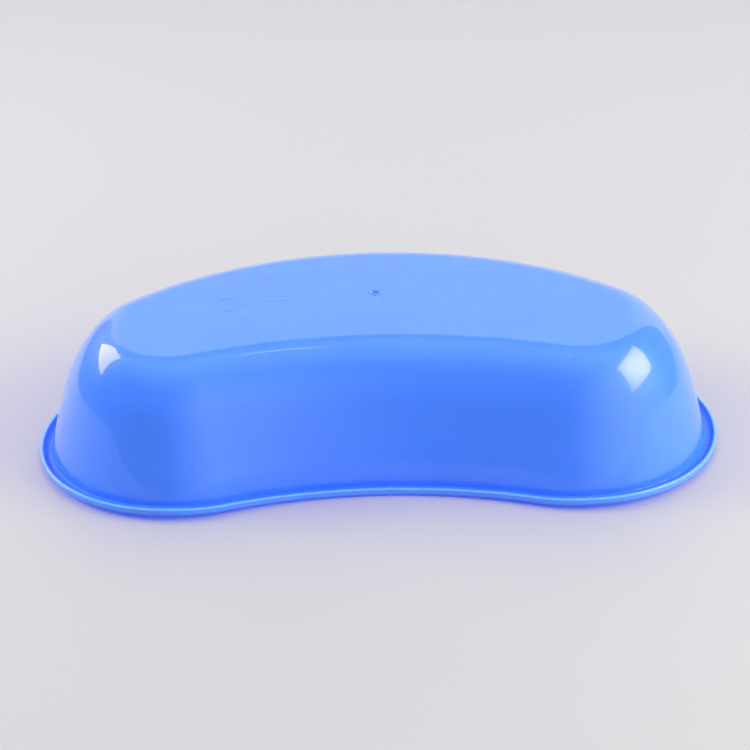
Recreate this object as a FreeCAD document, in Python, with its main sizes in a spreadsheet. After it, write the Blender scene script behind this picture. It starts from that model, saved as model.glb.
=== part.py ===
import FreeCAD, Part
import math
import os

import Sketcher
from FreeCAD import Vector

# A kidney dish, moulded in one piece and lying upside down on its rim.
# Millimetres. +Z is up, the rim stands on z = 0 and the flat base is on top.
# +X runs along the dish, and the hollow of the kidney faces -Y.
# The origin is the centre of the overall footprint, on the plane of the rim.

DRIVING_DIMENSIONS = [
    ("overall_length", 260.0, "tip to tip of the rim"),
    ("overall_width", 138.5, "back of the rim to the front of the lobes"),
    ("overall_height", 51.5, "rim to base"),
    ("lobe_radius", 54.7, "rim outline, round each end"),
    ("waist_depth", 12.7, "how far the front is hollowed at mid-length"),
    ("wall", 1.5, "thickness of walls and base"),
    ("rim_width", 5.4, "edge of the rim to the root of the wall"),
    ("rim_draft", 3.0, "degrees, edge of the rim, either way from the parting line"),
    ("flange", 1.5, "thickness of the rim at the bottom of its gutter"),
    ("lip_height", 3.3, "turned edge of the rim"),
    ("lip_width", 1.2, "crest of the turned edge"),
    ("parting_level", 2.2, "mould parting line on the edge of the rim"),
    ("root_draft", 11.0, "degrees, where the gutter runs into the wall"),
    ("side_draft", 14.2, "degrees, long walls"),
    ("end_draft", 7.5, "degrees, end walls at their root"),
    ("end_lean", 0.005, "inset of the end walls per square of the height, added to the draft"),
    ("base_radius", 16.6, "outer radius from walls to base"),
    ("mouth_radius", 1.8, "rim to the inside of the wall"),
    ("foot_radius", 1.2, "rim to its edge"),
    ("crest_radius", 0.25, "both sides of the crest of the lip"),
    ("gate_radius", 2.6, "recess round the moulding gate"),
    ("gate_depth", 0.5, "recess round the moulding gate"),
    ("stub_radius", 0.7, "broken-off gate in its recess"),
    ("stub_height", 0.3, "broken-off gate in its recess"),
    ("mark_depth", 0.15, "plain mould marks in the base"),
    ("mark_line", 0.8, "width of the marks' lines"),
    ("ring_radius", 5.0, "round mark, outside"),
    ("ring_offset", 55.5, "round mark from mid-length"),
    ("bar_length", 10.0, "straight marks"),
    ("bar_gap", 3.0, "between the straight marks"),
    ("bar_offset", 37.0, "straight marks from mid-length"),
    ("bar_shift", 4.0, "straight marks, from the middle of the footprint to the back"),
]

# Faces closer together than this are on one level.
SAME_LEVEL = 0.001

# How Sketcher numbers an edge's points and its own origin and axes.
START, FINISH, CENTRE = 1, 2, 3
ORIGIN, Y_AXIS = -1, -2

UP = Vector(0, 0, 1)


def make_sheet(doc):
    """The spreadsheet that drives every size."""
    sheet = doc.addObject("Spreadsheet::Sheet", "sizes")
    for row, (alias, value, note) in enumerate(DRIVING_DIMENSIONS, start=1):
        sheet.set(f"A{row}", alias)
        sheet.set(f"B{row}", str(value))
        sheet.set(f"C{row}", note)
        sheet.setAlias(f"B{row}", alias)
    doc.recompute()
    return sheet


def origin_plane(body, role):
    """One of the body's own origin planes."""
    return next(f for f in body.Origin.OriginFeatures if f.Role == role)


def new_sketch(body, name, role):
    """An empty sketch on one of the body's origin planes."""
    sketch = body.newObject("Sketcher::SketchObject", name)
    sketch.AttachmentSupport = [(origin_plane(body, role), "")]
    sketch.MapMode = "FlatFace"
    return sketch


def drive(sketch, index, name, expression):
    """Name a constraint and bind it to the sheet."""
    sketch.renameConstraint(index, name)
    sketch.setExpression(f"Constraints.{name}", expression)


def side_slope():
    return "tan(sizes.side_draft * 1 deg)"


def end_slope(level):
    return f"(tan(sizes.end_draft * 1 deg) + 2 * sizes.end_lean * ({level} - sizes.lip_height))"


def side_inset(level, thickness="0"):
    """Rim outline to the long walls: a straight draft."""
    height = f"({level} - sizes.lip_height)"
    skin = f"{thickness} * sqrt(1 + {side_slope()} * {side_slope()})"
    return f"(sizes.rim_width + {side_slope()} * {height} + {skin})"


def end_inset(level, thickness="0"):
    """Rim outline to the end walls: a draft that grows towards the base."""
    height = f"({level} - sizes.lip_height)"
    lean = f"tan(sizes.end_draft * 1 deg) * {height} + sizes.end_lean * {height} * {height}"
    skin = f"{thickness} * sqrt(1 + {end_slope(level)} * {end_slope(level)})"
    return f"(sizes.rim_width + {lean} + {skin})"


def first_outline(sizes, side, end):
    """The six arcs of the outline, near enough for the solver to start from."""
    lobe = sizes.lobe_radius - side
    lobe_x = sizes.overall_length / 2 - end - lobe
    lobe_y = sizes.lobe_radius - sizes.overall_width / 2
    back_y = sizes.overall_width / 2 - side
    waist_y = sizes.waist_depth + side - sizes.overall_width / 2
    back_rise = back_y - lobe_y
    waist_drop = lobe_y - waist_y
    back = (lobe_x**2 + back_rise**2 - lobe**2) / (2 * (back_rise - lobe))
    waist = (lobe_x**2 + waist_drop**2 - lobe**2) / (2 * (lobe - waist_drop))
    back_turn = math.atan2(lobe_y - (back_y - back), lobe_x)
    waist_turn = math.atan2(lobe_y - (waist_y - waist), lobe_x)
    half_turn = math.pi / 2
    arcs = [
        (0, back_y - back, back, back_turn, half_turn),
        (0, back_y - back, back, half_turn, math.pi - back_turn),
        (-lobe_x, lobe_y, lobe, math.pi - back_turn, 2 * math.pi - waist_turn),
        (0, waist_y - waist, waist, half_turn, math.pi - waist_turn),
        (0, waist_y - waist, waist, waist_turn, half_turn),
        (lobe_x, lobe_y, lobe, waist_turn - math.pi, back_turn),
    ]
    return [Part.ArcOfCircle(Part.Circle(Vector(x, y, 0), UP, r), a, b) for x, y, r, a, b in arcs]


def kidney_sketch(body, name, level, side="0", end="0"):
    """The rim's outline drawn in by side and end, at a level above the rim."""
    sketch = new_sketch(body, name, "XY_Plane")
    sketch.setExpression("AttachmentOffset.Base.z", level)
    sizes = body.Document.sizes
    arcs = first_outline(sizes, sizes.evalExpression(side), sizes.evalExpression(end))
    back_right, back_left, lobe_left, waist_left, waist_right, lobe_right = sketch.addGeometry(arcs)
    rule = Sketcher.Constraint
    for before, end_before, after, end_after in (
        (lobe_right, FINISH, back_right, START),
        (back_left, FINISH, lobe_left, START),
        (lobe_left, FINISH, waist_left, FINISH),
        (waist_right, START, lobe_right, START),
    ):
        sketch.addConstraint(rule("Tangent", before, end_before, after, end_after))
    for right, right_end, left, left_end in (
        (back_right, FINISH, back_left, START),
        (waist_right, FINISH, waist_left, START),
    ):
        sketch.addConstraint(rule("Coincident", right, right_end, left, left_end))
        sketch.addConstraint(rule("Coincident", right, CENTRE, left, CENTRE))
        sketch.addConstraint(rule("PointOnObject", right, right_end, Y_AXIS))
        sketch.addConstraint(rule("PointOnObject", right, CENTRE, Y_AXIS))
    sketch.addConstraint(rule("Equal", lobe_right, lobe_left))
    lobe = f"(sizes.lobe_radius - {side})"
    lobe_x = arcs[lobe_right].Center.x
    lobe_drop = -arcs[lobe_right].Center.y
    back = arcs[back_right].EndPoint.y
    waist_drop = -arcs[waist_right].EndPoint.y
    for constraint, alias, expression in (
        (rule("Radius", lobe_right, arcs[lobe_right].Radius), "lobe", lobe),
        (rule("DistanceX", ORIGIN, START, lobe_right, CENTRE, lobe_x), "lobe_x",
         f"sizes.overall_length / 2 - {end} - {lobe}"),
        (rule("DistanceY", lobe_right, CENTRE, ORIGIN, START, lobe_drop), "lobe_drop",
         "sizes.overall_width / 2 - sizes.lobe_radius"),
        (rule("DistanceY", ORIGIN, START, back_right, FINISH, back), "back",
         f"sizes.overall_width / 2 - {side}"),
        (rule("DistanceY", waist_right, FINISH, ORIGIN, START, waist_drop), "waist_drop",
         f"sizes.overall_width / 2 - sizes.waist_depth - {side}"),
    ):
        drive(sketch, sketch.addConstraint(constraint), alias, expression)
    return sketch


def section_sketch(body, name, level, thickness="0"):
    """The wall's outline at a level, on its outside or drawn in by a thickness."""
    return kidney_sketch(body, name, level, side_inset(level, thickness), end_inset(level, thickness))


def loft(body, kind, name, sections):
    """A smooth loft through sections, the first of them at the rim."""
    feature = body.newObject(f"PartDesign::{kind}", name)
    feature.Profile = sections[0]
    feature.Sections = sections[1:]
    feature.Ruled = False
    return feature


def flat_at(shape, level):
    """The largest horizontal face at a level."""

    def lies_there(face):
        return isinstance(face.Surface, Part.Plane) and abs(face.CenterOfMass.z - level) < SAME_LEVEL

    return max(filter(lies_there, shape.Faces), key=lambda face: face.Area)


def names_of(shape, edges):
    """What the shape calls these edges."""
    return [f"Edge{i}" for i, own in enumerate(shape.Edges, start=1) if any(own.isSame(e) for e in edges)]


def outer_edges(face):
    return face.OuterWire.Edges


def inner_edges(face):
    return [e for wire in face.Wires if not wire.isSame(face.OuterWire) for e in wire.Edges]


def round_off(body, name, level, pick, radius):
    """Fillet the edges that are picked from the flat at a level of the body so far."""
    body.Document.recompute()
    before = body.Tip
    edges = [e for choose in pick for e in choose(flat_at(before.Shape, level))]
    fillet = body.newObject("PartDesign::Fillet", name)
    fillet.Base = (before, names_of(before.Shape, edges))
    fillet.setExpression("Radius", radius)
    return fillet


def add_rim(body):
    """The plate of the rim, drafted both ways from the mould parting line on its edge."""
    plate = body.newObject("PartDesign::Pad", "rim_plate")
    plate.Profile = kidney_sketch(body, "rim_outline", "sizes.parting_level")
    plate.SideType = "Two sides"
    plate.setExpression("Length", "sizes.lip_height - sizes.parting_level")
    plate.setExpression("Length2", "sizes.parting_level")
    plate.setExpression("TaperAngle", "-sizes.rim_draft")
    plate.setExpression("TaperAngle2", "-sizes.rim_draft")
    return plate


def gutter_sketch(body):
    """The gutter's section at mid-length of the back: across is +Y, up is +Z."""
    sketch = new_sketch(body, "gutter_section", "YZ_Plane")
    sizes = body.Document.sizes
    depth = sizes.lip_height - sizes.flange
    tilt = math.radians(sizes.root_draft)
    edge = sizes.overall_width / 2
    root_radius = depth / (1 - math.sin(tilt))
    root = Vector(edge - sizes.rim_width, sizes.lip_height, 0)
    valley = Vector(root.x + root_radius * math.cos(tilt), sizes.flange, 0)
    crest = Vector(edge - sizes.lip_width, sizes.lip_height, 0)
    lip_radius = ((crest.x - valley.x) ** 2 + depth**2) / (2 * depth)
    clear = Vector(0, sizes.flange, 0)
    root_centre = valley + Vector(0, root_radius, 0)
    lip_centre = valley + Vector(0, lip_radius, 0)
    crest_turn = math.atan2(crest.y - lip_centre.y, crest.x - lip_centre.x)
    root_arc, lip_arc, lip_side, top, root_side = sketch.addGeometry([
        Part.ArcOfCircle(Part.Circle(root_centre, UP, root_radius), math.pi + tilt, 1.5 * math.pi),
        Part.ArcOfCircle(Part.Circle(lip_centre, UP, lip_radius), -math.pi / 2, crest_turn),
        Part.LineSegment(crest, crest + clear),
        Part.LineSegment(crest + clear, root + clear),
        Part.LineSegment(root + clear, root),
    ])
    rule = Sketcher.Constraint
    sketch.addConstraint([
        rule("Coincident", root_arc, FINISH, lip_arc, START),
        rule("Coincident", lip_arc, FINISH, lip_side, START),
        rule("Coincident", lip_side, FINISH, top, START),
        rule("Coincident", top, FINISH, root_side, START),
        rule("Coincident", root_side, FINISH, root_arc, START),
        rule("Vertical", root_arc, CENTRE, root_arc, FINISH),
        rule("Vertical", lip_arc, CENTRE, lip_arc, START),
        rule("Vertical", lip_side),
        rule("Horizontal", top),
        rule("Vertical", root_side),
    ])
    edge_across = "sizes.overall_width / 2"
    root_across = f"{edge_across} - sizes.rim_width"
    root_rise = "(sizes.lip_height - sizes.flange) / (1 - sin(sizes.root_draft * 1 deg))"
    for name, axis, item, point, value, expression in (
        ("root_across", "DistanceX", root_arc, START, root.x, root_across),
        ("root_level", "DistanceY", root_arc, START, root.y, "sizes.lip_height"),
        ("valley_across", "DistanceX", root_arc, FINISH, valley.x,
         f"{root_across} + {root_rise} * cos(sizes.root_draft * 1 deg)"),
        ("valley_level", "DistanceY", root_arc, FINISH, valley.y, "sizes.flange"),
        ("crest_across", "DistanceX", lip_arc, FINISH, crest.x, f"{edge_across} - sizes.lip_width"),
        ("crest_level", "DistanceY", lip_arc, FINISH, crest.y, "sizes.lip_height"),
        ("clear_level", "DistanceY", lip_side, FINISH, (crest + clear).y,
         "sizes.lip_height + sizes.flange"),
    ):
        size = rule(axis, ORIGIN, START, item, point, value)
        drive(sketch, sketch.addConstraint(size), name, expression)
    return sketch


def add_gutter(body):
    """The gutter between the turned-up lip and the root of the wall."""
    gutter = body.newObject("PartDesign::SubtractivePipe", "gutter")
    gutter.Profile = gutter_sketch(body)
    gutter.Spine = (kidney_sketch(body, "gutter_path", "sizes.lip_height"), [])
    gutter.Mode = "Frenet"
    return gutter


def add_wall(body):
    """The outside of the wall, lofted from its root up to the base."""
    levels = (
        ("wall_root", "sizes.lip_height"),
        ("wall_middle", "((sizes.lip_height + sizes.overall_height) / 2)"),
        ("wall_top", "sizes.overall_height"),
    )
    return loft(body, "AdditiveLoft", "wall_outside", [section_sketch(body, *level) for level in levels])


def add_cavity(body):
    """The inside of the bowl, one wall's thickness in from the outside."""
    floor = "(sizes.overall_height - sizes.wall)"
    levels = (
        ("cavity_mouth", "0"),
        ("cavity_middle", f"({floor} / 2)"),
        ("cavity_floor", floor),
    )
    sections = [section_sketch(body, name, level, "sizes.wall") for name, level in levels]
    return loft(body, "SubtractiveLoft", "cavity", sections)


def add_roundings(body):
    """Every rounded edge, from the floor of the bowl out to the lip."""
    sizes = body.Document.sizes
    floor = sizes.overall_height - sizes.wall
    inside_base = "sizes.base_radius - sizes.wall"
    round_off(body, "floor_rounding", floor, [outer_edges], inside_base)
    round_off(body, "base_rounding", sizes.overall_height, [outer_edges], "sizes.base_radius")
    round_off(body, "mouth_rounding", 0, [inner_edges], "sizes.mouth_radius")
    round_off(body, "foot_rounding", 0, [outer_edges], "sizes.foot_radius")
    round_off(body, "crest_rounding", sizes.lip_height, [outer_edges, inner_edges], "sizes.crest_radius")


def circles_sketch(body, name, level, across, along, radii):
    """Circles about one centre, at a level."""
    sketch = new_sketch(body, name, "XY_Plane")
    sketch.setExpression("AttachmentOffset.Base.z", level)
    sketch.setExpression("AttachmentOffset.Base.x", across)
    sketch.setExpression("AttachmentOffset.Base.y", along)
    for number, radius in enumerate(radii, start=1):
        value = body.Document.sizes.evalExpression(radius)
        circle = sketch.addGeometry(Part.Circle(Vector(0, 0, 0), UP, value))
        sketch.addConstraint(Sketcher.Constraint("Coincident", circle, CENTRE, ORIGIN, START))
        size = sketch.addConstraint(Sketcher.Constraint("Radius", circle, value))
        drive(sketch, size, f"ring_{number}", radius)
    return sketch


def bar_sketch(body, name, across, along):
    """A straight mark's outline on the base, centred on its own origin."""
    sketch = new_sketch(body, name, "XY_Plane")
    sketch.setExpression("AttachmentOffset.Base.z", "sizes.overall_height")
    sketch.setExpression("AttachmentOffset.Base.x", across)
    sketch.setExpression("AttachmentOffset.Base.y", along)
    sizes = body.Document.sizes
    x = sizes.bar_length / 2
    y = sizes.mark_line / 2
    corners = [Vector(-x, -y, 0), Vector(x, -y, 0), Vector(x, y, 0), Vector(-x, y, 0)]
    sides = sketch.addGeometry([Part.LineSegment(a, b) for a, b in zip(corners, corners[1:] + corners[:1])])
    rule = Sketcher.Constraint
    for side, following in zip(sides, sides[1:] + sides[:1]):
        sketch.addConstraint(rule("Coincident", side, FINISH, following, START))
    for side, run in zip(sides, ("Horizontal", "Vertical", "Horizontal", "Vertical")):
        sketch.addConstraint(rule(run, side))
    sketch.addConstraint(rule("Symmetric", sides[0], START, sides[2], START, ORIGIN, START))
    length = sketch.addConstraint(rule("DistanceX", sides[0], START, sides[0], FINISH, 2 * x))
    width = sketch.addConstraint(rule("DistanceY", sides[1], START, sides[1], FINISH, 2 * y))
    drive(sketch, length, "length", "sizes.bar_length")
    drive(sketch, width, "line", "sizes.mark_line")
    return sketch


def pocket(body, name, profile, depth):
    """A shallow pocket cut down into the base."""
    cut = body.newObject("PartDesign::Pocket", name)
    cut.Profile = profile
    cut.setExpression("Length", depth)
    return cut


def add_gate(body):
    """The recess in the middle of the base, with the broken-off gate standing in it."""
    middle = "sizes.waist_depth / 2"
    top = "sizes.overall_height"
    recess = circles_sketch(body, "gate_outline", top, "0", middle, ["sizes.gate_radius"])
    pocket(body, "gate_recess", recess, "sizes.gate_depth")
    stub_foot = f"{top} - sizes.gate_depth"
    stub = body.newObject("PartDesign::Pad", "gate_stub")
    stub.Profile = circles_sketch(body, "stub_outline", stub_foot, "0", middle, ["sizes.stub_radius"])
    stub.setExpression("Length", "sizes.stub_height")


def add_marks(body):
    """Plain sunk marks on the base: a ring and two bars."""
    rings = ["sizes.ring_radius", "sizes.ring_radius - sizes.mark_line"]
    ring = circles_sketch(body, "ring_outline", "sizes.overall_height", "-sizes.ring_offset", "0", rings)
    pocket(body, "ring_mark", ring, "sizes.mark_depth")
    for name, side in (("front", "-"), ("back", "+")):
        along = f"sizes.bar_shift {side} (sizes.bar_gap + sizes.mark_line) / 2"
        bar = bar_sketch(body, f"{name}_bar_outline", "-sizes.bar_offset", along)
        pocket(body, f"{name}_bar_mark", bar, "sizes.mark_depth")


def make_dish(doc):
    """The whole moulding as one body."""
    body = doc.addObject("PartDesign::Body", "dish_body")
    body.Label = "dish_body"
    body.Placement = FreeCAD.Placement()
    add_rim(body)
    add_gutter(body)
    add_wall(body)
    add_cavity(body)
    add_roundings(body)
    add_gate(body)
    add_marks(body)
    return body


def check_volumes(body):
    """Every feature that adds has to add, and every one that cuts has to cut."""
    adds = ("PartDesign::Pad", "PartDesign::AdditiveLoft")
    cuts = ("PartDesign::Pocket", "PartDesign::SubtractiveLoft", "PartDesign::SubtractivePipe")
    volume = 0.0
    for feature in (f for f in body.Group if hasattr(f, "BaseFeature")):
        change = feature.Shape.Volume - volume
        if feature.TypeId in adds and change <= 0 or feature.TypeId in cuts and change >= 0:
            raise RuntimeError(f"{feature.Label} changed the volume by {change:.1f} mm3")
        volume = feature.Shape.Volume


def check(doc, sub_parts):
    """Stop if anything failed to build."""
    for item in doc.Objects:
        if "Invalid" in item.State or "Error" in item.State:
            raise RuntimeError(f"{item.Label} failed: {item.State}")
    for sub_part in sub_parts:
        shape = sub_part.Shape
        if shape.isNull() or not shape.isValid() or len(shape.Solids) != 1:
            raise RuntimeError(f"{sub_part.Label} is not one valid solid")
        check_volumes(sub_part)


def main():
    doc = FreeCAD.newDocument("kidney_dish")
    make_sheet(doc)
    sub_parts = [make_dish(doc)]
    doc.recompute()
    check(doc, sub_parts)
    os.makedirs("parts", exist_ok=True)
    for sub_part in sub_parts:
        sub_part.Shape.exportStep(f"parts/{sub_part.Label}.step")
        print(f"{sub_part.Label}: {sub_part.Shape.Volume / 1000:.1f} cm3")


main()
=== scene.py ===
import math

import bmesh
import bpy
import numpy as np
from mathutils import Matrix, Vector


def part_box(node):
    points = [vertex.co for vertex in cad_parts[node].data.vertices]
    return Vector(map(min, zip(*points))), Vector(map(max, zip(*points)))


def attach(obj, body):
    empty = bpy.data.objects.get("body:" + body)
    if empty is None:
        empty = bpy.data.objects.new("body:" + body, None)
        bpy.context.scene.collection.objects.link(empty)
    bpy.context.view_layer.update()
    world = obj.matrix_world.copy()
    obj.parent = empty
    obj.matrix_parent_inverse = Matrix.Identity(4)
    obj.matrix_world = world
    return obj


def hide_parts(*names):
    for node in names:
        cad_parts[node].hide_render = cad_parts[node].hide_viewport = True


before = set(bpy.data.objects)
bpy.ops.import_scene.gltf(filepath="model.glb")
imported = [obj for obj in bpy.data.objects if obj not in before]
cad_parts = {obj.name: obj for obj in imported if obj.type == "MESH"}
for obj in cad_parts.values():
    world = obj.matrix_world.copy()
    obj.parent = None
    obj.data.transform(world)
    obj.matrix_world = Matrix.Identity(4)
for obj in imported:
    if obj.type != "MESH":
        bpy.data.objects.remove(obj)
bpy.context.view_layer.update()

# A kidney dish moulded in one piece, upside down on its rim, on a pale table in soft studio light.
# Everything is in metres. z = 0 is the table and the plane of the rim.

MM = 0.001
LOW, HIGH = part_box("dish_body")

# The rim's outline, and the dish's height.
LENGTH = HIGH.x - LOW.x
WIDTH = HIGH.y - LOW.y
HEIGHT = HIGH.z
LOBE_RADIUS = 54.7 * MM
WAIST_DEPTH = 12.7 * MM

# How many points the outline's arcs have: half of the back, each lobe, and the waist.
BACK_POINTS = 72
LOBE_POINTS = 112
WAIST_POINTS = 144

# The shell. Each pair is (long walls, end walls).
# A higher blend keeps the end walls' values to the very ends.
WALL = 1.5 * MM
DRAFT = (math.radians(14.0), math.radians(16.6))
BASE_ROUND_ACROSS = (19.8 * MM, 28.3 * MM)
BASE_ROUND_UP = (32.2 * MM, 44.1 * MM)
RIM_WIDTH = (5.3 * MM, 4.5 * MM)
END_BLEND = 4.4

# The rim's section. The back of the lip slopes down from its crest to the lip's foot, in the gutter,
# where a very thin strip keeps the valley sharp.
FLANGE = 1.5 * MM
LIP_HEIGHT = 3.3 * MM
LIP_WIDTH = 1.2 * MM
LIP_DRAFT = math.radians(3.0)
LIP_FOOT = 2.9 * MM
VALLEY = 0.0625 * MM
CREST_ROUND = 0.25 * MM
ROOT_ROUND = 0.4 * MM
FOOT_ROUND = 1.2 * MM
MOUTH_ROUND = 1.8 * MM
PARTING_LEVEL = 2.2 * MM
PARTING_GROOVE = 0.12 * MM
CREST_STEPS = 5
ROUND_STEPS = 8

# How many rows the wall has: up its straight part, and over the round to the base.
WALL_STEPS = 12
BASE_ROUND_STEPS = 30

# The moulding's warp: under the two lobes in front, the rim stands this far off the table.
# The lift fades out up the wall, and ends at the warp's height.
WARP = 1.8 * MM
WARP_HEIGHT = 30.0 * MM

# The marks moulded into the flat base, seen from above: the gate's recess and stub, a ring and two bars.
GATE = (0, WAIST_DEPTH / 2)
GATE_RADIUS = 2.6 * MM
GATE_DEPTH = 0.7 * MM
GATE_POINTS = 48
STUB_RADIUS = 0.7 * MM
STUB_HEIGHT = 0.3 * MM
STUB_TAPER = 0.4
MARK_DEPTH = 0.11 * MM
MARK_LINE = 0.8 * MM
RING = (-55.5 * MM, 0)
RING_RADIUS = 5.0 * MM
RING_POINTS = 64
BARS_X = -37.0 * MM
BARS_Y = 4.0 * MM
BAR_PITCH = 3.8 * MM
BAR_LENGTH = 10.0 * MM
BAR_POINTS = 32

# How many steps the marks' sections have: down a wall of the gate, across the ring's line, down a bar's.
GATE_STEPS = 5
RING_STEPS = 8
BAR_STEPS = 4

# The flat strip that keeps the shading clean next to a curve.
GUARD = 0.3 * MM

# A nick in the lip, where a bit of flash was trimmed off the parting line.
NICK_X = 3.5 * MM
NICK_HALF = 1.2 * MM
NICK_DEPTH = 0.22 * MM

# The plastic. The paler blue on the rim's crest is a painted glow, for light that the translucent plastic
# gathers and lets out at its thin edge; the lip's face has this share of that painted glow.
PLASTIC_DEEP = (0.034, 0.174, 0.78)
PLASTIC_LIGHT = (0.037, 0.184, 0.81)
PLASTIC_PAINTED_GLOW = (0.120, 0.345, 0.95)
PLASTIC_SPECK = (0.010, 0.035, 0.16)
THROUGH_COLOUR = (0.04, 0.36, 1.0)
FACE_PAINTED_GLOW = 0.35
PLASTIC_IOR = 1.49
HAZE = (0.36, 0.46)
SCATTER_WEIGHT = 0.5
SCATTER_RADIUS = (0.15, 0.35, 1.0)
SCATTER_SCALE = 0.5 * MM
SPECK_SPACING = 7.0 * MM
SPECK_RADIUS = 0.16 * MM
SPECK_CORE = 0.6
SPECK_STRENGTH = 0.55

# The plastic's patterns: their size, their stretch along each axis, the span of the noise that they
# use, and how deep those are that show as bumps.
FLOW_SIZE = 45 * MM
FLOW_STRETCH = (1, 1.6, 1)
FLOW_SPAN = (0.35, 0.65)
HAZE_SIZE = 6 * MM
HAZE_SPAN = (0.3, 0.7)
SCUFF_SIZE = 0.9 * MM
SCUFF_STRETCH = (0.12, 1, 0.5)
SCUFF_SPAN = (0.66, 0.74)
SCUFF_DEPTH = 0.0012 * MM
WAVE_SIZE = 26 * MM
WAVE_DEPTH = 0.03 * MM
PEEL_SIZE = 1.1 * MM
PEEL_DEPTH = 0.0009 * MM

# The finishes: how much polish the skin has, and how rough that polish is.
POLISHED = (1.0, 0.016)
SATIN = (0.1, 0.30)

# The camera, in front of the dish and looking down on it.
VIEW_CENTRE = Vector((-0.7 * MM, 0, 25 * MM))
VIEW_DISTANCE = 755.8 * MM
VIEW_RISE = -5.08 * MM
VIEW_ELEVATION = math.radians(30.02)
VIEW_AZIMUTH = math.radians(0.014)
VIEW_ROLL = math.radians(-1.49)
LENS = 93.83
SENSOR = 36.0

# The studio. Directions are (azimuth, elevation) in degrees: 0 is behind the dish, 90 to its right.
# Spots on the dish are in millimetres: its centre, and where it mirrors the small lamp.
CENTRE = (0, 0, 40)
LAMP_SPOT = (-35, -34, 50)
TABLE_BACK = 0.55
TABLE = [
    (-0.40, TABLE_BACK),
    (-0.40, -0.03),
    (-0.25, -0.18),
    (0.27, -0.18),
    (0.27, 0.03),
    (0.60, TABLE_BACK),
]
FLOOR_HALF = 5.0
FLOOR_COLOUR = (0.363, 0.359, 0.358)
# Painted light: the table is painted lighter and bluer towards the back, up to FLOOR_FAR at this distance.
FLOOR_FAR = (0.378, 0.374, 0.386)
FLOOR_FAR_FROM = 0.4
FLOOR_SHADE = 0.985
FLOOR_SHADE_SIZE = 0.12
FLOOR_SHADE_SPAN = (0.3, 0.7)
FLOOR_ROUGHNESS = 0.55
TOOTH_SIZE = 1.5 * MM
TOOTH_DEPTH = 0.01 * MM

# The paper behind the dish, which curves up from the table and narrows to the top.
SWEEP_RADIUS = 0.12
SWEEP_STEPS = 9
SWEEP_TOP = 0.50
SWEEP_NARROWS = 0.20
SWEEP_GLOW = (0.92, 0.92, 0.97)

# The softboxes: how far off they stand, and where in them their light fades from centre to edge.
SOFTBOX_DISTANCE = 0.8
SOFTBOX_FADE = (0.1, 0.8)

# The room: what the camera sees past the floor, the light all round, and what the gloss mirrors.
BACKDROP = (0.70, 0.70, 0.76)
AMBIENT = (0.83, 0.83, 0.87)
ROOM_DARK = (0.20, 0.21, 0.24)
ROOM_BRIGHT = (1.25, 1.25, 1.30)
BRIGHT_SIDE = (130, 5)
SIDE_FADE = (0.55, 0.98)
CEILING_FADE = (0.72, 0.97)
CEILING_SHARE = 0.62


def arc_points(centre, radius, start, end, count, sign=1):
    """Points along an arc, without its end, and the outward normals of the dish there."""
    turn = np.linspace(start, end, count, endpoint=False)
    ray = np.stack([np.cos(turn), np.sin(turn)], axis=1)
    return np.array(centre) + radius * ray, sign * ray


def kidney_outline():
    """The rim's outline, counterclockwise from the middle of the back: points and outward normals."""
    lobe_x = LENGTH / 2 - LOBE_RADIUS
    lobe_y = LOBE_RADIUS - WIDTH / 2
    back_rise = WIDTH / 2 - lobe_y
    waist_drop = LOBE_RADIUS - WAIST_DEPTH
    back = (lobe_x**2 + back_rise**2 - LOBE_RADIUS**2) / (2 * (back_rise - LOBE_RADIUS))
    waist = (lobe_x**2 + waist_drop**2 - LOBE_RADIUS**2) / (2 * (LOBE_RADIUS - waist_drop))
    back_centre = (0, WIDTH / 2 - back)
    waist_centre = (0, lobe_y - waist_drop - waist)
    back_turn = math.atan2(lobe_y - back_centre[1], lobe_x)
    waist_turn = math.atan2(lobe_y - waist_centre[1], lobe_x)
    half = math.pi
    quarter = half / 2
    arcs = [
        arc_points(back_centre, back, quarter, half - back_turn, BACK_POINTS),
        arc_points((-lobe_x, lobe_y), LOBE_RADIUS, half - back_turn, 2 * half - waist_turn, LOBE_POINTS),
        arc_points(waist_centre, waist, half - waist_turn, waist_turn, WAIST_POINTS, sign=-1),
        arc_points((lobe_x, lobe_y), LOBE_RADIUS, waist_turn - half, back_turn, LOBE_POINTS),
        arc_points(back_centre, back, back_turn, quarter, BACK_POINTS),
    ]
    return np.concatenate([p for p, _ in arcs]), np.concatenate([n for _, n in arcs])


def between(pair, share):
    """From a pair's first value to its second."""
    return pair[0] + (pair[1] - pair[0]) * share


class Section:
    """The dish's section, row by row: inset from the rim's edge, and height, all round the outline."""

    def __init__(self, share):
        self.share = share
        self.rows = []
        self.edge = []
        self.satin = []

    def add(self, inset, level, edge=0.0, satin=False):
        """A row of points, their share of the painted glow on the rim's thin edge, and whether satin starts
        there.
        """
        nothing = np.zeros_like(self.share)
        self.rows.append((nothing + inset, nothing + level))
        self.edge.append(edge)
        self.satin.append(satin)

    def arc(self, inset, level, radius, start, end, steps, **values):
        """Points round a centre, from start to end, in radians."""
        for turn in np.linspace(0, 1, steps):
            angle = start + (end - start) * turn
            self.add(inset + radius * np.cos(angle), level + radius * np.sin(angle), **values)


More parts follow.
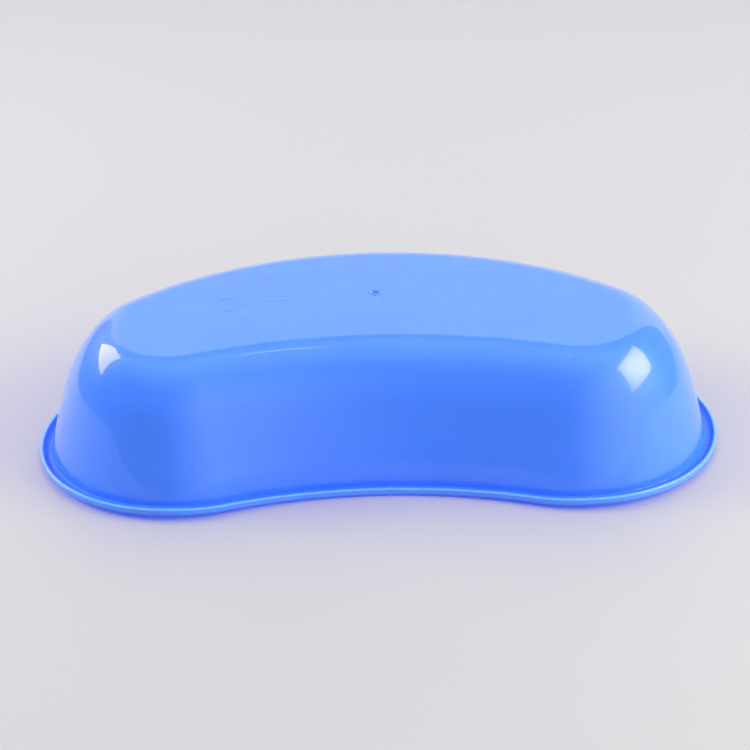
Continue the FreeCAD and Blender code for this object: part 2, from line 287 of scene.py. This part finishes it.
def wall_curve(share):
    """The outside of the wall from the lip's level up to the flat base, and the way into it, row by row."""
    draft = between(DRAFT, share)
    across = between(BASE_ROUND_ACROSS, share)
    up = between(BASE_ROUND_UP, share)
    start = np.arctan(up * np.tan(draft) / across)
    level = HEIGHT - up + up * np.sin(start)
    inset = between(RIM_WIDTH, share) + (level - LIP_HEIGHT) * np.tan(draft)
    centre = inset + across * np.cos(start)
    rows = []
    for climb in np.linspace(0, 1, WALL_STEPS, endpoint=False):
        z = LIP_HEIGHT + (level - LIP_HEIGHT) * climb
        rows.append((inset - (level - z) * np.tan(draft), z, np.cos(draft), -np.sin(draft)))
    for climb in np.linspace(0, 1, BASE_ROUND_STEPS):
        angle = start + (math.pi / 2 - start) * climb
        into = np.hypot(up * np.cos(angle), across * np.sin(angle))
        rows.append((
            centre - across * np.cos(angle),
            HEIGHT - up + up * np.sin(angle),
            up * np.cos(angle) / into,
            -across * np.sin(angle) / into,
        ))
    return rows


def dish_section(share):
    """The whole section, from the floor inside the bowl, round the rim, to the edge of the base."""
    section = Section(share)
    draft = between(DRAFT, share)
    wall = wall_curve(share)
    quarter = math.pi / 2
    for inset, level, into_x, into_z in reversed(wall):
        section.add(inset + WALL * into_x, level + WALL * into_z)

    # Down the inside of the wall and out over the mouth.
    foot = MOUTH_ROUND * (1 - np.sin(draft))
    inner = between(RIM_WIDTH, share) + (foot - LIP_HEIGHT) * np.tan(draft) + WALL / np.cos(draft)
    mouth_centre = inner - MOUTH_ROUND * np.cos(draft)
    section.arc(mouth_centre, MOUTH_ROUND, MOUTH_ROUND, -draft, -quarter, ROUND_STEPS)

    # The rim's edge, with its parting line; the lip's face beside it carries part of the painted glow.
    lean = math.tan(LIP_DRAFT)
    foot_inset = FOOT_ROUND + (PARTING_LEVEL - FOOT_ROUND) * lean
    section.arc(foot_inset, FOOT_ROUND, FOOT_ROUND, -quarter, LIP_DRAFT - math.pi, ROUND_STEPS)
    section.add(0, PARTING_LEVEL - PARTING_GROOVE, FACE_PAINTED_GLOW)
    section.add(PARTING_GROOVE, PARTING_LEVEL)
    section.add(0, PARTING_LEVEL + PARTING_GROOVE, FACE_PAINTED_GLOW)
    # The crest, front and back, carries the full painted glow.
    crest_inset = CREST_ROUND + (LIP_HEIGHT - PARTING_LEVEL) * lean
    crest_level = LIP_HEIGHT - CREST_ROUND
    section.arc(crest_inset, crest_level, CREST_ROUND, math.pi - LIP_DRAFT, quarter, CREST_STEPS, edge=1.0)

    # The gutter: down the back of the lip, across its floor, and up into the wall.
    slope = math.atan2(crest_level - FLANGE, LIP_FOOT - LIP_WIDTH)
    crest_back = LIP_WIDTH - CREST_ROUND
    section.arc(crest_back, crest_level, CREST_ROUND, quarter, quarter - slope, CREST_STEPS, edge=1.0)
    section.add(LIP_WIDTH + CREST_ROUND, crest_level - CREST_ROUND, satin=True)
    section.add(LIP_FOOT, FLANGE, satin=True)
    section.add(LIP_FOOT + VALLEY, FLANGE, satin=True)
    root_level = FLANGE + ROOT_ROUND * (1 - np.sin(draft))
    root_inset = between(RIM_WIDTH, share) + (root_level - LIP_HEIGHT) * np.tan(draft)
    root_centre = root_inset - ROOT_ROUND * np.cos(draft)
    section.arc(root_centre, FLANGE + ROOT_ROUND, ROOT_ROUND, -quarter, -draft, ROUND_STEPS, satin=True)

    for inset, level, _, _ in wall:
        section.add(inset, level)
    return section


def closed_path(centre, length, radius, count):
    """A circle, or a bar with round ends of this radius: points and outward normals, counterclockwise."""
    turn = np.linspace(-math.pi / 2, 1.5 * math.pi, count, endpoint=False)
    ray = np.stack([np.cos(turn), np.sin(turn)], axis=1)
    side = np.where(ray[:, :1] > 0, length / 2, -length / 2) * [1, 0]
    return np.array(centre) + side + radius * ray, ray


def bridge(bm, rings, finishes=None):
    """Quads between each ring of vertices and the next, each strip with its own finish if they are given."""
    for strip, (below, above) in enumerate(zip(rings, rings[1:])):
        for i in range(len(below)):
            following = (i + 1) % len(below)
            face = bm.faces.new((below[i], below[following], above[following], above[i]))
            if finishes:
                face.material_index = finishes[strip]


def new_ring(bm, outline):
    """Vertices on the floor, joined in a ring."""
    ring = [bm.verts.new((x, y, 0)) for x, y in outline]
    for a, b in zip(ring, ring[1:] + ring[:1]):
        bm.edges.new((a, b))
    return ring


def ring_edges(bm, ring):
    return [bm.edges.get((a, b)) for a, b in zip(ring, ring[1:] + ring[:1])]


def fill(bm, edges):
    bmesh.ops.triangle_fill(bm, use_beauty=True, edges=edges)


def mould_mark(bm, path, rows):
    """A mark, from rows of (offset from its path, height over the base). Returns its outer ring."""
    points, normals = path
    rings = []
    for offset, rise in rows:
        plan = points + normals * offset
        rings.append([bm.verts.new((x, y, HEIGHT + rise)) for x, y in plan])
    bridge(bm, rings)
    fill(bm, ring_edges(bm, rings[-1]))
    return rings[0]


def ring_rows():
    """Across a shallow round-bottomed groove, with a strip of flat base on each side."""
    half = MARK_LINE / 2
    rows = [(half + GUARD, 0)]
    for across in np.linspace(1, -1, RING_STEPS + 1):
        rows.append((half * across, -MARK_DEPTH * math.cos(across * math.pi / 2) ** 2))
    rows.append((-half - GUARD, 0))
    return rows


def bar_rows():
    """Down into a shallow groove with a narrow flat bottom."""
    wall = MARK_LINE / 3
    rows = [(GUARD, 0)]
    for share in np.linspace(0, 1, BAR_STEPS + 1):
        rows.append((-wall * share, -MARK_DEPTH * math.sin(share * math.pi / 2) ** 2))
    return rows


def gate_rows():
    """Down into the gate's recess, and up the stub left where the plastic was cut off."""
    wall = GATE_DEPTH
    rows = [(GUARD, 0)]
    for share in np.linspace(0, 1, GATE_STEPS + 1):
        rows.append((-wall * share, -GATE_DEPTH * math.sin(share * math.pi / 2) ** 2))
    foot = STUB_RADIUS - GATE_RADIUS
    rows.append((foot + GUARD, -GATE_DEPTH))
    for share in np.linspace(0, 1, GATE_STEPS + 1):
        rise = STUB_HEIGHT * math.sin(share * math.pi / 2) ** 2
        rows.append((foot - STUB_RADIUS * STUB_TAPER * share, rise - GATE_DEPTH))
    return rows


def base_marks(bm):
    """The edges round every mark in the base, for the flat between them."""
    ring = closed_path(RING, 0, RING_RADIUS, RING_POINTS)
    gate = closed_path(GATE, 0, GATE_RADIUS, GATE_POINTS)
    outer = [mould_mark(bm, ring, ring_rows()), mould_mark(bm, gate, gate_rows())]
    for side in (-0.5, 0.5):
        centre = (BARS_X, BARS_Y + side * BAR_PITCH)
        bar = closed_path(centre, BAR_LENGTH - MARK_LINE, MARK_LINE / 2, BAR_POINTS)
        outer.append(mould_mark(bm, bar, bar_rows()))
    return [edge for ring in outer for edge in ring_edges(bm, ring)]


def nick(points, level):
    """How far the lip's edge is cut back, point by point."""
    front = points[:, 1] < 0
    cut = np.exp(-(((points[:, 0] - NICK_X) / NICK_HALF) ** 2))
    on_lip = np.clip((level - FOOT_ROUND) / (PARTING_LEVEL - FOOT_ROUND), 0, 1)
    return NICK_DEPTH * cut * front * on_lip


def warp(points, normals, level):
    """How far each point is lifted by the warp, which fades out up the wall."""
    lobe = np.clip(np.abs(points[:, 0]) / (LENGTH / 2 - LOBE_RADIUS), 0, 1) ** 2
    front = np.clip(-normals[:, 1], 0, 1) ** 2
    fade = 0.5 + 0.5 * np.cos(math.pi * np.clip(level / WARP_HEIGHT, 0, 1))
    return WARP * lobe * front * fade


def dish_mesh():
    """The dish as one closed shell."""
    points, normals = kidney_outline()
    share = np.abs(normals[:, 0]) ** END_BLEND
    section = dish_section(share)
    floor_inset, floor_level = section.rows[0]
    base_inset, base_level = section.rows[-1]
    rows = [(floor_inset + GUARD, floor_level), *section.rows, (base_inset + GUARD, base_level)]
    # Each row's share of the painted glow on the crest and lip face, and each strip's finish.
    edges = [0, *section.edge, 0]
    finishes = [0, *(int(satin) for satin in section.satin), 0]
    bm = bmesh.new()
    painted_glow = bm.verts.layers.float.new("edge")
    rings = []
    for (inset, level), edge in zip(rows, edges):
        # The nick cuts the lip's outer side and its crest, not its back.
        outside = inset < LIP_WIDTH
        plan = points - normals * (inset + nick(points, level) * outside)[:, None]
        lifted = level + warp(points, normals, level)
        rings.append([bm.verts.new((x, y, z)) for (x, y), z in zip(plan, lifted)])
        for vertex in rings[-1]:
            vertex[painted_glow] = edge
    bridge(bm, rings, finishes)
    fill(bm, ring_edges(bm, rings[0]))
    fill(bm, ring_edges(bm, rings[-1]) + base_marks(bm))
    bmesh.ops.recalc_face_normals(bm, faces=bm.faces)
    for face in bm.faces:
        face.smooth = True
    mesh = bpy.data.meshes.new("dish")
    bm.to_mesh(mesh)
    bm.free()
    return mesh


def mix_colours(tree, share, first, second):
    """From the first colour to the second; either may be a colour or another node's output."""
    node = tree.nodes.new("ShaderNodeMix")
    node.data_type = "RGBA"
    inputs = {socket.identifier: socket for socket in node.inputs}
    outputs = {socket.identifier: socket for socket in node.outputs}
    tree.links.new(share, inputs["Factor_Float"])
    for socket, colour in ((inputs["A_Color"], first), (inputs["B_Color"], second)):
        if isinstance(colour, tuple):
            socket.default_value = (*colour, 1)
        else:
            tree.links.new(colour, socket)
    return outputs["Result_Color"]


class Nodes:
    """A short way to add and join the nodes of a material, or of the world."""

    def __init__(self, owner):
        owner.use_nodes = True
        self.tree = owner.node_tree
        self.shader = self.tree.nodes.get("Principled BSDF")
        self.place = self.add("ShaderNodeTexCoord").outputs["Object"]

    def add(self, kind, **values):
        node = self.tree.nodes.new(kind)
        for name, value in values.items():
            setattr(node, name, value)
        return node

    def join(self, source, socket):
        self.tree.links.new(source, socket)

    def noise(self, size, detail=2.0, roughness=0.5, stretch=(1, 1, 1)):
        """Soft noise whose features are about this size, in metres."""
        mapping = self.add("ShaderNodeMapping")
        mapping.inputs["Scale"].default_value = stretch
        self.join(self.place, mapping.inputs["Vector"])
        node = self.add("ShaderNodeTexNoise")
        node.inputs["Scale"].default_value = 1 / size
        node.inputs["Detail"].default_value = detail
        node.inputs["Roughness"].default_value = roughness
        self.join(mapping.outputs["Vector"], node.inputs["Vector"])
        return node.outputs["Fac"]

    def remap(self, value, low, high, to_low, to_high):
        node = self.add("ShaderNodeMapRange")
        for name, number in zip(("From Min", "From Max", "To Min", "To Max"), (low, high, to_low, to_high)):
            node.inputs[name].default_value = number
        self.join(value, node.inputs["Value"])
        return node.outputs["Result"]

    def mix(self, share, first, second):
        return mix_colours(self.tree, share, first, second)

    def bump(self, height, depth, under=None):
        """A bump whose full swing is this depth, in metres, over another bump if one is given."""
        node = self.add("ShaderNodeBump")
        node.inputs["Distance"].default_value = depth
        self.join(height, node.inputs["Height"])
        if under is not None:
            self.join(under, node.inputs["Normal"])
        return node.outputs["Normal"]


def plastic(name, finish):
    """Blue polypropylene: slightly translucent, hazy inside, with a skin of this finish."""
    material = bpy.data.materials.new(name)
    nodes = Nodes(material)
    shader = nodes.shader.inputs

    # The colour drifts a little where the melt flowed, and holds a few dark specks of pigment.
    flow = nodes.remap(nodes.noise(FLOW_SIZE, detail=3.0, stretch=FLOW_STRETCH), *FLOW_SPAN, 0, 1)
    blue = nodes.mix(flow, PLASTIC_DEEP, PLASTIC_LIGHT)
    cells = nodes.add("ShaderNodeTexVoronoi")
    cells.inputs["Scale"].default_value = 1 / SPECK_SPACING
    nodes.join(nodes.place, cells.inputs["Vector"])
    share = SPECK_RADIUS / SPECK_SPACING
    speck = nodes.remap(cells.outputs["Distance"], share * SPECK_CORE, share, SPECK_STRENGTH, 0)
    specked = nodes.mix(speck, blue, PLASTIC_SPECK)

    # Painted glow: the rim's crest, and partly the lip's face, are painted a paler blue for the light that
    # the plastic gathers and lets out at its thin edge.
    painted_glow = nodes.add("ShaderNodeAttribute", attribute_name="edge").outputs["Fac"]
    nodes.join(nodes.mix(painted_glow, specked, PLASTIC_PAINTED_GLOW), shader["Base Color"])

    # A cloudy haze under the skin.
    haze = nodes.remap(nodes.noise(HAZE_SIZE, detail=4.0, roughness=0.6), *HAZE_SPAN, *HAZE)
    nodes.join(haze, shader["Roughness"])
    shader["IOR"].default_value = PLASTIC_IOR
    shader["Subsurface Weight"].default_value = SCATTER_WEIGHT
    shader["Subsurface Radius"].default_value = SCATTER_RADIUS
    shader["Subsurface Scale"].default_value = SCATTER_SCALE
    shader["Coat Weight"].default_value, shader["Coat Roughness"].default_value = finish
    shader["Coat IOR"].default_value = PLASTIC_IOR

    # The skin: slow sink waves, orange peel, and fine scuffs from handling.
    waves = nodes.bump(nodes.noise(WAVE_SIZE, detail=1.0), WAVE_DEPTH)
    peel = nodes.bump(nodes.noise(PEEL_SIZE, roughness=0.45), PEEL_DEPTH, under=waves)
    rubbed = nodes.noise(SCUFF_SIZE, detail=3.0, roughness=0.7, stretch=SCUFF_STRETCH)
    scuff = nodes.remap(rubbed, *SCUFF_SPAN, 0, 1)
    skin = nodes.bump(scuff, SCUFF_DEPTH, under=peel)
    nodes.join(skin, shader["Normal"])
    nodes.join(skin, shader["Coat Normal"])

    # Light that reaches the table through the dish comes out blue.
    rays = nodes.add("ShaderNodeLightPath")
    clear = nodes.add("ShaderNodeBsdfTransparent")
    clear.inputs["Color"].default_value = (*THROUGH_COLOUR, 1)
    seen = nodes.shader.outputs["BSDF"]
    for kind in ("Is Shadow Ray", "Is Diffuse Ray"):
        either = nodes.add("ShaderNodeMixShader")
        nodes.join(rays.outputs[kind], either.inputs["Fac"])
        nodes.join(seen, either.inputs[1])
        nodes.join(clear.outputs["BSDF"], either.inputs[2])
        seen = either.outputs["Shader"]
    nodes.join(seen, nodes.tree.nodes["Material Output"].inputs["Surface"])
    return material


def add_camera():
    data = bpy.data.cameras.new("camera")
    data.lens = LENS
    data.sensor_width = SENSOR
    camera = bpy.data.objects.new("camera", data)
    tilt = math.pi / 2 - VIEW_ELEVATION
    turn = Matrix.Rotation(VIEW_AZIMUTH, 4, "Z")
    aim = Matrix.Rotation(tilt, 4, "X")
    back = Matrix.Translation((0, VIEW_RISE, VIEW_DISTANCE))
    roll = Matrix.Rotation(VIEW_ROLL, 4, "Z")
    camera.matrix_world = turn @ Matrix.Translation(VIEW_CENTRE) @ aim @ back @ roll
    bpy.context.collection.objects.link(camera)
    bpy.context.scene.camera = camera


def towards(azimuth, elevation):
    across = math.cos(math.radians(elevation))
    turn = math.radians(azimuth)
    return Vector((across * math.sin(turn), across * math.cos(turn), math.sin(math.radians(elevation))))


def stage_piece(name, bm, material):
    """A part of the studio, not of the object."""
    mesh = bpy.data.meshes.new(name)
    bm.to_mesh(mesh)
    bm.free()
    mesh.materials.append(material)
    piece = bpy.data.objects.new(name, mesh)
    bpy.context.collection.objects.link(piece)
    return piece


def floor_paper():
    """Matt pale board with a fine tooth, painted a little lighter and bluer behind the dish as painted
    light.
    """
    material = bpy.data.materials.new("table")
    nodes = Nodes(material)
    tone = nodes.remap(nodes.noise(FLOOR_SHADE_SIZE, detail=3.0), *FLOOR_SHADE_SPAN, 0, 1)
    darker = tuple(c * FLOOR_SHADE for c in FLOOR_COLOUR)
    near = nodes.mix(tone, darker, FLOOR_COLOUR)
    # Painted light: the board turns lighter and bluer towards the back.
    split = nodes.add("ShaderNodeSeparateXYZ")
    nodes.join(nodes.place, split.inputs["Vector"])
    depth = nodes.remap(split.outputs["Y"], 0.0, FLOOR_FAR_FROM, 0, 1)
    nodes.join(nodes.mix(depth, near, FLOOR_FAR), nodes.shader.inputs["Base Color"])
    nodes.shader.inputs["Roughness"].default_value = FLOOR_ROUGHNESS
    nodes.join(nodes.bump(nodes.noise(TOOTH_SIZE, detail=3.0), TOOTH_DEPTH), nodes.shader.inputs["Normal"])
    return material


def add_floor():
    """The small table top, and round it the rest of the floor, which isn't mirrored in the dish."""
    material = floor_paper()
    far = [(x * FLOOR_HALF, y * FLOOR_HALF) for x, y in ((-1, 1), (-1, -1), (1, -1), (1, 1))]
    for name, outlines in (("table", [TABLE]), ("floor", [TABLE, far])):
        bm = bmesh.new()
        edges = []
        for outline in outlines:
            edges += ring_edges(bm, new_ring(bm, outline))
        fill(bm, edges)
        for face in bm.faces:
            if face.normal.z < 0:
                face.normal_flip()
        piece = stage_piece(name, bm, material)
        piece.visible_glossy = name == "table"


def add_sweep():
    """The bright paper that curves up behind the dish. Only the gloss sees it."""
    bm = bmesh.new()
    turns = np.linspace(0, math.pi / 2, SWEEP_STEPS)
    line = [(TABLE_BACK + SWEEP_RADIUS * math.sin(t), SWEEP_RADIUS * (1 - math.cos(t))) for t in turns]
    line.append((TABLE_BACK + SWEEP_RADIUS, SWEEP_TOP))
    narrower = [SWEEP_NARROWS * z / SWEEP_TOP for _, z in line]
    left = [bm.verts.new((TABLE[0][0], y, z)) for y, z in line]
    right = [bm.verts.new((TABLE[-1][0] - cut, y, z)) for (y, z), cut in zip(line, narrower)]
    for i in range(len(line) - 1):
        bm.faces.new((left[i], right[i], right[i + 1], left[i + 1]))
    material = bpy.data.materials.new("sweep")
    shader = Nodes(material).shader.inputs
    shader["Base Color"].default_value = (0, 0, 0, 1)
    shader["Emission Color"].default_value = (*SWEEP_GLOW, 1)
    shader["Emission Strength"].default_value = 1.0
    sweep = stage_piece("sweep", bm, material)
    sweep.visible_camera = False
    sweep.visible_shadow = False
    sweep.visible_diffuse = False


def add_softbox(name, spot, corners, tint, centre_glow, edge_glow):
    """A softbox that only the gloss sees. The spot, in millimetres, is where the dish mirrors it."""
    spot = Vector(spot) * MM
    corners = [spot + towards(*corner) * SOFTBOX_DISTANCE for corner in corners]
    middle = sum(corners, Vector()) / len(corners)
    bm = bmesh.new()
    bm.faces.new([bm.verts.new(corner - middle) for corner in corners])
    reach = max((corner - middle).length for corner in corners)
    material = bpy.data.materials.new(name)
    nodes = Nodes(material)
    away = nodes.add("ShaderNodeVectorMath", operation="LENGTH")
    nodes.join(nodes.place, away.inputs[0])
    fade = [reach * share for share in SOFTBOX_FADE]
    glow = nodes.remap(away.outputs["Value"], *fade, centre_glow, edge_glow)
    nodes.shader.inputs["Base Color"].default_value = (0, 0, 0, 1)
    nodes.shader.inputs["Emission Color"].default_value = (*tint, 1)
    nodes.join(glow, nodes.shader.inputs["Emission Strength"])
    box = stage_piece(name, bm, material)
    box.location = middle
    box.visible_camera = False
    box.visible_diffuse = False
    box.visible_shadow = False


def add_light(name, spot, direction, distance, size, glow, gloss=True, diffuse=True):
    """A light of this size and surface brightness, aimed at a spot in millimetres."""
    data = bpy.data.lights.new(name, "AREA")
    data.shape = "RECTANGLE"
    data.size, data.size_y = size
    data.energy = glow * math.pi * size[0] * size[1]
    light = bpy.data.objects.new(name, data)
    away = towards(*direction)
    light.location = Vector(spot) * MM + away * distance
    light.rotation_euler = away.to_track_quat("Z", "Y").to_euler()
    light.visible_glossy = gloss
    light.visible_diffuse = diffuse
    light.visible_transmission = diffuse
    bpy.context.collection.objects.link(light)


def add_world():
    """Soft light from all round. The gloss mirrors a dark room with a bright ceiling and a bright side."""
    world = bpy.data.worlds.new("studio")
    bpy.context.scene.world = world
    nodes = Nodes(world)
    side = nodes.add("ShaderNodeVectorMath", operation="DOT_PRODUCT")
    side.inputs[1].default_value = towards(*BRIGHT_SIDE)
    nodes.join(nodes.place, side.inputs[0])
    split = nodes.add("ShaderNodeSeparateXYZ")
    nodes.join(nodes.place, split.inputs["Vector"])
    brighter = nodes.add("ShaderNodeMath", operation="MAXIMUM")
    nodes.join(nodes.remap(side.outputs["Value"], *SIDE_FADE, 0, 1), brighter.inputs[0])
    nodes.join(nodes.remap(split.outputs["Z"], *CEILING_FADE, 0, CEILING_SHARE), brighter.inputs[1])
    room = nodes.mix(brighter.outputs["Value"], ROOM_DARK, ROOM_BRIGHT)
    rays = nodes.add("ShaderNodeLightPath")
    seen = nodes.mix(rays.outputs["Is Camera Ray"], AMBIENT, BACKDROP)
    colour = nodes.mix(rays.outputs["Is Glossy Ray"], seen, room)
    nodes.join(colour, nodes.tree.nodes["Background"].inputs["Color"])


add_camera()
add_floor()
add_sweep()
add_world()
add_softbox(
    "window_right",
    spot=(93, -46, 45),
    corners=[(47.8, 45.4), (85.3, 18.2), (125.5, 12.1), (123.8, 49.4)],
    tint=(1.0, 0.85, 1.0),
    centre_glow=10.0,
    edge_glow=5.0,
)
add_softbox(
    "window_left",
    spot=(-98, -35, 49),
    corners=[(-33.4, 14.4), (-77.0, 20.8), (-45.0, 46.0), (-28.0, 32.0)],
    tint=(1.0, 0.76, 0.95),
    centre_glow=5.6,
    edge_glow=6.6,
)
add_light("key_right", CENTRE, (108, 24), distance=0.9, size=(0.71, 0.61), glow=7.5, gloss=False)
add_light("key_left", CENTRE, (-85, 26), distance=0.9, size=(0.42, 0.37), glow=13.5, gloss=False)
add_light("fill_front", CENTRE, (160, 6), distance=1.1, size=(0.8, 0.8), glow=0.6, gloss=False)
add_light("overhead", CENTRE, (10, 55), distance=1.2, size=(0.9, 0.9), glow=2.6, gloss=False)
add_light("lamp", LAMP_SPOT, (15, 76), distance=1.2, size=(0.02, 0.10), glow=6.0, diffuse=False)

dish = bpy.data.objects.new("dish", dish_mesh())
dish.data.materials.append(plastic("polypropylene", POLISHED))
dish.data.materials.append(plastic("polypropylene_satin", SATIN))
bpy.context.collection.objects.link(dish)
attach(dish, "root")
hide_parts("dish_body")

bpy.context.scene.view_settings.view_transform = "Standard"
